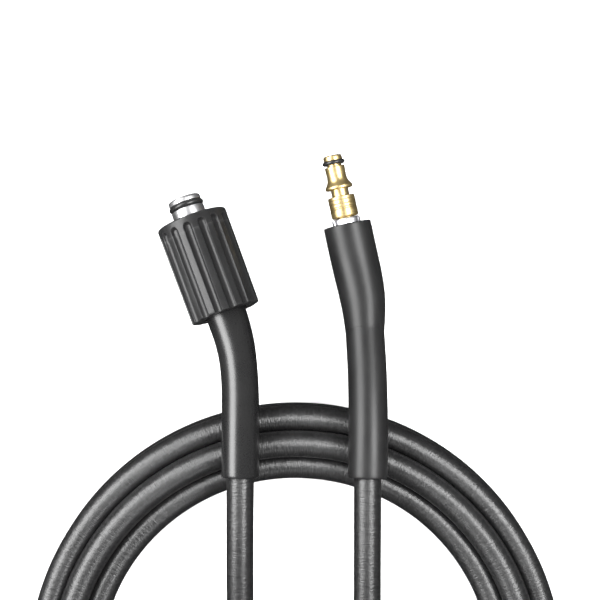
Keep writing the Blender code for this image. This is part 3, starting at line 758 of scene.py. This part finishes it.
def add_camera():
    """The camera at the photograph's angle."""
    data = bpy.data.cameras.new("camera")
    data.lens = CAMERA_LENS
    data.sensor_width = CAMERA_SENSOR
    camera = bpy.data.objects.new("camera", data)
    camera.location = Vector(CAMERA_PLACE) + Vector(COIL_CENTRE)
    camera.rotation_euler = (-CAMERA_LEAN, 0.0, 0.0)
    bpy.context.scene.collection.objects.link(camera)
    bpy.context.scene.camera = camera


def new_group(name, inputs, outputs):
    """A node group with named (kind, name, default) inputs and (kind, name) outputs."""
    group = bpy.data.node_groups.new(name, "ShaderNodeTree")
    for kind, label, default in inputs:
        socket = group.interface.new_socket(label, in_out="INPUT", socket_type=kind)
        if default is not None:
            socket.default_value = default
    for kind, label in outputs:
        group.interface.new_socket(label, in_out="OUTPUT", socket_type=kind)
    return group, group.nodes.new("NodeGroupInput"), group.nodes.new("NodeGroupOutput")


def add_node(tree, kind, **values):
    """A node with some of its settings and sockets filled in by name."""
    made = tree.nodes.new(kind)
    for name, value in values.items():
        if hasattr(made, name):
            setattr(made, name, value)
        else:
            made.inputs[name.replace("_", " ")].default_value = value
    return made


def join(tree, *pairs):
    """Link each output to its input."""
    for source, target in pairs:
        tree.links.new(source, target)


def math_node(tree, operation, first, second):
    """A Math node of two sources, each a socket or a number."""
    made = add_node(tree, "ShaderNodeMath", operation=operation)
    for socket, source in zip(made.inputs, (first, second)):
        if isinstance(source, (int, float)):
            socket.default_value = source
        else:
            join(tree, (source, socket))
    return made.outputs[0]


def grain_group():
    """Noise stretched to its own size across and along a piece."""
    group, inside, out = new_group(
        "stretched grain",
        [("NodeSocketVector", "Place", None), ("NodeSocketFloat", "Across", 0.001),
         ("NodeSocketFloat", "Along", 0.001), ("NodeSocketFloat", "Detail", 3.0)],
        [("NodeSocketFloat", "Value")])
    split = add_node(group, "ShaderNodeSeparateXYZ")
    gather = add_node(group, "ShaderNodeCombineXYZ")
    noise = add_node(group, "ShaderNodeTexNoise", Scale=1.0, Roughness=0.6)
    join(group, (inside.outputs["Place"], split.inputs[0]),
         (inside.outputs["Detail"], noise.inputs["Detail"]),
         (gather.outputs[0], noise.inputs["Vector"]),
         (noise.outputs["Fac"], out.inputs["Value"]))
    for axis, size in (("X", "Across"), ("Y", "Across"), ("Z", "Along")):
        join(group, (math_node(group, "DIVIDE", split.outputs[axis], inside.outputs[size]),
                     gather.inputs[axis]))
    return group


def lathe_group():
    """Fine rings of a lathe: noise of the distance along the axis and of the radius."""
    group, inside, out = new_group(
        "lathe rings",
        [("NodeSocketVector", "Place", None), ("NodeSocketFloat", "Pitch", 0.0002)],
        [("NodeSocketFloat", "Value")])
    split = add_node(group, "ShaderNodeSeparateXYZ")
    squares = [math_node(group, "MULTIPLY", split.outputs[axis], split.outputs[axis])
               for axis in ("X", "Y")]
    radius = math_node(group, "SQRT", math_node(group, "ADD", *squares), 0.0)
    gather = add_node(group, "ShaderNodeCombineXYZ")
    noise = add_node(group, "ShaderNodeTexNoise", Scale=1.0, Detail=2.0, Roughness=0.5)
    join(group, (inside.outputs["Place"], split.inputs[0]),
         (gather.outputs[0], noise.inputs["Vector"]),
         (noise.outputs["Fac"], out.inputs["Value"]))
    for source, axis in ((radius, "X"), (split.outputs["Z"], "Z")):
        join(group, (math_node(group, "DIVIDE", source, inside.outputs["Pitch"]),
                     gather.inputs[axis]))
    return group


STRETCHED_GRAIN = grain_group()
LATHE_RINGS = lathe_group()


def new_material(name, roughness, metallic, specular):
    """A material with its shader, and the place on the straightened piece."""
    mat = bpy.data.materials.new(name)
    mat.use_nodes = True
    tree = mat.node_tree
    shader = tree.nodes["Principled BSDF"]
    shader.inputs["Roughness"].default_value = roughness
    shader.inputs["Metallic"].default_value = metallic
    shader.inputs["Specular IOR Level"].default_value = specular
    place = add_node(tree, "ShaderNodeAttribute", attribute_name="place")
    return mat, tree, shader, place.outputs["Vector"]


def group_value(tree, group, place, **sizes):
    """A node group's value at a place, with its sizes filled in by name."""
    made = add_node(tree, "ShaderNodeGroup", node_tree=group, **sizes)
    join(tree, (place, made.inputs["Place"]))
    return made.outputs["Value"]


def grain(tree, place, across, along, detail=3.0):
    """The grain group's value at its own size."""
    return group_value(tree, STRETCHED_GRAIN, place, Across=across, Along=along,
                       Detail=detail)


def spread(tree, value, reach, low, high):
    """A value's reach, its least and its most, brought to low and high."""
    made = add_node(tree, "ShaderNodeMapRange", From_Min=reach[0], From_Max=reach[1],
                    To_Min=low, To_Max=high)
    join(tree, (value, made.inputs["Value"]))
    return made.outputs["Result"]


def tone(tree, value, dark, light):
    """A colour between two by a value. Each is a colour or the socket of one."""
    made = add_node(tree, "ShaderNodeMix", data_type="RGBA")
    colours = [socket for socket in made.inputs if socket.type == "RGBA"]
    for socket, source in zip(colours, (dark, light)):
        if isinstance(source, tuple):
            socket.default_value = (*source, 1.0)
        else:
            join(tree, (source, socket))
    join(tree, (value, made.inputs["Factor"]))
    return next(socket for socket in made.outputs if socket.type == "RGBA")


def bump(tree, height, distance, strength=1.0, normal=None):
    """A Bump node's normal, over another normal if one is given."""
    made = add_node(tree, "ShaderNodeBump", Distance=distance, Strength=strength)
    join(tree, (height, made.inputs["Height"]))
    if normal is not None:
        join(tree, (normal, made.inputs["Normal"]))
    return made.outputs["Normal"]


def dress(tree, shader, colour, roughness, normal):
    """Link a colour, a roughness and a normal to the shader."""
    join(tree, (colour, shader.inputs["Base Color"]),
         (roughness, shader.inputs["Roughness"]), (normal, shader.inputs["Normal"]))


def mottled(tree, value, tones):
    """A colour that follows a noise between two tones."""
    return tone(tree, spread(tree, value, NOISE_RANGE, 0.0, 1.0), *tones)


def uneven(tree, first, second, low, high):
    """A roughness that follows the sum of two noises."""
    both = math_node(tree, "ADD", first, second)
    return spread(tree, both, TWO_NOISES_RANGE, low, high)


def hose_rubber():
    """Black satin rubber cured in a cloth wrap, with fine marks across the hose.

    Its gloss is drawn out along the hose, by the attribute "along".
    """
    mat, tree, shader, place = new_material(
        "hose rubber", roughness=0.36, metallic=0.0, specular=0.95)
    shader.inputs["Anisotropic"].default_value = 0.5
    along = add_node(tree, "ShaderNodeAttribute", attribute_name="along")
    join(tree, (along.outputs["Vector"], shader.inputs["Tangent"]))
    marks = grain(tree, place, across=0.0022, along=0.0005, detail=1.5)
    fine = grain(tree, place, across=0.0005, along=0.0003, detail=2.0)
    wide = grain(tree, place, across=0.012, along=0.030, detail=2.0)
    relief = bump(tree, marks, distance=0.00026)
    dress(tree, shader, mottled(tree, marks, HOSE_TONES),
          uneven(tree, marks, wide, low=0.32, high=0.40),
          bump(tree, fine, distance=0.00001, strength=0.6, normal=relief))
    return mat


def sleeve_rubber(name, roughness, specular):
    """Black moulded rubber of the sleeves: smooth, satin, with a faint fine grain."""
    mat, tree, shader, place = new_material(
        name, roughness, metallic=0.0, specular=specular)
    fine = grain(tree, place, across=0.0004, along=0.0004, detail=2.0)
    wide = grain(tree, place, across=0.010, along=0.018)
    relief = bump(tree, wide, distance=0.00012, strength=0.4)
    dress(tree, shader, mottled(tree, wide, SLEEVE_TONES),
          uneven(tree, fine, wide, low=roughness - 0.03, high=roughness + 0.05),
          bump(tree, fine, distance=0.00003, strength=0.5, normal=relief))
    return mat


def nut_plastic():
    """Dark moulded plastic with a spark-eroded grain, and a painted highlight: a lighter
    tone on its sharp edges.
    """
    mat, tree, shader, place = new_material(
        "nut plastic", roughness=0.38, metallic=0.0, specular=0.65)
    fine = grain(tree, place, across=0.0003, along=0.0003)
    wide = grain(tree, place, across=0.006, along=0.012)
    # Painted highlight: the nut's sharp edges, found by their pointiness, get a lighter
    # tone
    geometry = add_node(tree, "ShaderNodeNewGeometry")
    edge = spread(tree, geometry.outputs["Pointiness"], EDGE_RANGE, 0.0, 1.0)
    dress(tree, shader, tone(tree, edge, mottled(tree, wide, NUT_TONES), NUT_EDGE_HIGHLIGHT_TONE),
          uneven(tree, fine, wide, low=0.32, high=0.44),
          bump(tree, fine, distance=0.00008, strength=0.7))
    return mat


def seal_rubber():
    """Black seal rubber, smooth with a slight gloss."""
    mat, tree, shader, place = new_material(
        "seal rubber", roughness=0.30, metallic=0.0, specular=0.7)
    fine = grain(tree, place, across=0.0006, along=0.0006, detail=2.0)
    dress(tree, shader, tone(tree, fine, *SEAL_TONES),
          spread(tree, fine, (0.3, 0.7), low=0.24, high=0.36),
          bump(tree, fine, distance=0.00002, strength=0.4))
    return mat


def turned_metal(name, tones, roughness, pitch):
    """A bright turned metal: lathe rings in its tone, roughness and relief."""
    mat, tree, shader, place = new_material(
        name, roughness, metallic=1.0, specular=0.5)
    rings = group_value(tree, LATHE_RINGS, place, Pitch=pitch)
    wide = grain(tree, place, across=0.003, along=0.003)
    mixed = math_node(tree, "ADD", math_node(tree, "MULTIPLY", rings, 0.7),
                      math_node(tree, "MULTIPLY", wide, 0.3))
    dress(tree, shader,
          tone(tree, spread(tree, mixed, METAL_NOISE_RANGE, 0.0, 1.0), *tones),
          spread(tree, mixed, METAL_NOISE_RANGE, roughness - 0.04, roughness + 0.08),
          bump(tree, rings, distance=0.000012, strength=0.5))
    return mat


def add_light(name, lean_x, lean_y, width, length, watts, flag, flagged):
    """A softbox aimed at the middle, leaning from straight above by two angles.

    Its length lies as near to the Y axis as its aim allows. A flag keeps its light off
    the flagged pieces, flag "EXCLUDE", or on them alone, flag "INCLUDE".
    """
    data = bpy.data.lights.new(name, "AREA")
    data.shape = "RECTANGLE"
    data.size = width
    data.size_y = length
    data.energy = watts
    lamp = bpy.data.objects.new(name, data)
    back = Vector((math.tan(math.radians(lean_x)), math.tan(math.radians(lean_y)),
                   1.0)).normalized()
    across = Vector((0.0, 1.0, 0.0)).cross(back).normalized()
    turn = Matrix((across, back.cross(across), back)).transposed().to_4x4()
    place = Vector(LIGHT_AIM) + back * LIGHT_DISTANCE
    lamp.matrix_world = Matrix.Translation(place) @ turn
    bpy.context.scene.collection.objects.link(lamp)
    if flag:
        listed = bpy.data.collections.new(name + " flag")
        lamp.light_linking.receiver_collection = listed
        for piece in flagged:
            listed.objects.link(piece)
        for member in listed.collection_objects:
            member.light_linking.link_state = flag


def add_floor():
    """A plain pale floor that gloss doesn't mirror."""
    mesh = bpy.data.meshes.new("floor")
    signs = (-1, -1), (1, -1), (1, 1), (-1, 1)
    mesh.from_pydata([(x * FLOOR_REACH, y * FLOOR_REACH, 0) for x, y in signs], [],
                     [(0, 1, 2, 3)])
    floor = bpy.data.objects.new("floor", mesh)
    bpy.context.scene.collection.objects.link(floor)
    floor.visible_glossy = False
    mat = bpy.data.materials.new("floor")
    mat.use_nodes = True
    shader = mat.node_tree.nodes["Principled BSDF"]
    shader.inputs["Base Color"].default_value = FLOOR_COLOUR
    shader.inputs["Roughness"].default_value = FLOOR_ROUGHNESS
    mesh.materials.append(mat)


def add_world():
    """A pale studio that lights evenly and is dim where gloss mirrors it."""
    world = bpy.data.worlds.new("studio")
    world.use_nodes = True
    tree = world.node_tree
    back = tree.nodes["Background"]
    path = add_node(tree, "ShaderNodeLightPath")
    seen = add_node(tree, "ShaderNodeTexCoord")
    split = add_node(tree, "ShaderNodeSeparateXYZ")
    join(tree, (seen.outputs["Generated"], split.inputs[0]))
    mirrored = spread(tree, split.outputs["Z"], (HORIZON_LOW, HORIZON_HIGH),
                      WORLD_MIRRORED_LOW - WORLD_LIGHT, WORLD_MIRRORED_HIGH - WORLD_LIGHT)
    strength = math_node(tree, "ADD", WORLD_LIGHT, math_node(
        tree, "MULTIPLY", path.outputs["Is Glossy Ray"], mirrored))
    back.inputs["Color"].default_value = (1.0, 1.0, 1.0, 1.0)
    join(tree, (strength, back.inputs["Strength"]))
    bpy.context.scene.world = world
    bpy.context.scene.view_settings.view_transform = "Standard"


add_camera()
hose, hose_centres = make_hose()
nut_sleeve = make_nut_sleeve()
plug_sleeve = make_plug_sleeve()
hand_nut = make_hand_nut()
screw_nipple = make_screw_nipple()
nipple_seal = make_seal("nipple_seal_ring", NIPPLE_SEAL_RADIUS, NIPPLE_SEAL_SECTION,
                        NIPPLE_SEAL_PLACE, NUT_FRAME, "nipple_seal")
brass_plug = make_brass_plug()
plug_seal = make_seal("plug_seal_ring", PLUG_SEAL_RADIUS, PLUG_SEAL_SECTION,
                      PLUG_SEAL_PLACE, PLUG_FRAME, "plug_seal")
ferrule = make_ferrule()

seal_black = seal_rubber()
for piece, mat in (
        (hose, hose_rubber()),
        (nut_sleeve, sleeve_rubber("nut sleeve rubber", roughness=0.28, specular=1.0)),
        (plug_sleeve, sleeve_rubber("plug sleeve rubber", roughness=0.38, specular=0.55)),
        (hand_nut, nut_plastic()),
        (nipple_seal, seal_black),
        (plug_seal, seal_black),
        (screw_nipple, turned_metal("nipple steel", NIPPLE_TONES, roughness=0.34,
                                    pitch=0.00025)),
        (ferrule, turned_metal("ferrule steel", FERRULE_TONES, roughness=0.36,
                               pitch=0.0004)),
        (brass_plug, turned_metal("plug brass", BRASS_TONES, roughness=0.34,
                                  pitch=0.0002))):
    piece.data.materials.append(mat)

add_floor()
add_world()
flagged_pieces = {None: [], "EXCLUDE": [nut_sleeve, hand_nut], "INCLUDE": [hose]}
for light in LIGHTS:
    add_light(*light, flagged_pieces[light[-1]])
